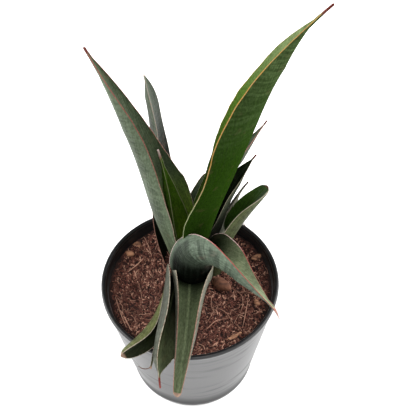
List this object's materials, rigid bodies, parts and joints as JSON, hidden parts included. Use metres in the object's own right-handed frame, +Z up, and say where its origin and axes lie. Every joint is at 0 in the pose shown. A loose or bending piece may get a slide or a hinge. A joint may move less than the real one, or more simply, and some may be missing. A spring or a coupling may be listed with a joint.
{
  "type": "potted snake plant",
  "caption": "Young snake plant with thick channelled leaves, tall ones at the back and drooping ones in front, growing in bark soil in a round tapered grey nursery pot.",
  "frame": {"origin": "middle of the flat underside of the pot", "axes": "+Z up; -Y is the front, where the drooping leaves pass over the rim; +X is to the right, the way the longest leaf leans"},
  "size_m": [0.1338, 0.1529, 0.3498],
  "materials": {
    "pot_plastic": "satin",
    "soil": "matte",
    "crown_tissue": "matte",
    "leaf_grey_green": "satin",
    "leaf_mid_green": "satin",
    "leaf_young_green": "satin",
    "leaf_dark_green": "satin",
    "bark_brown": "matte",
    "bark_tan": "matte",
    "straw": "matte"
  },
  "bodies": {
    "root": {"nursery_pot": "pot_plastic", "potting_soil": "soil", "plant_crown": "crown_tissue", "centre_spear_leaf": "leaf_young_green", "arching_front_leaf": "leaf_grey_green", "tall_right_leaf": "leaf_mid_green", "tall_left_leaf": "leaf_grey_green", "back_right_leaf": "leaf_dark_green", "back_left_leaf": "leaf_dark_green", "upper_side_leaf": "leaf_dark_green", "thin_side_leaf": "leaf_grey_green", "blunt_side_leaf": "leaf_grey_green", "front_hanging_leaf": "leaf_grey_green", "front_left_leaf": "leaf_grey_green", "sliver_leaf": "leaf_grey_green", "low_left_leaf": "leaf_grey_green", "bark_chip_large": "bark_brown", "bark_chip_round": "bark_tan", "bark_chip_left": "bark_tan", "bark_chip_right": "bark_tan", "bark_chip_front": "bark_tan", "straw_sliver": "straw"}
  },
  "joints": []
}
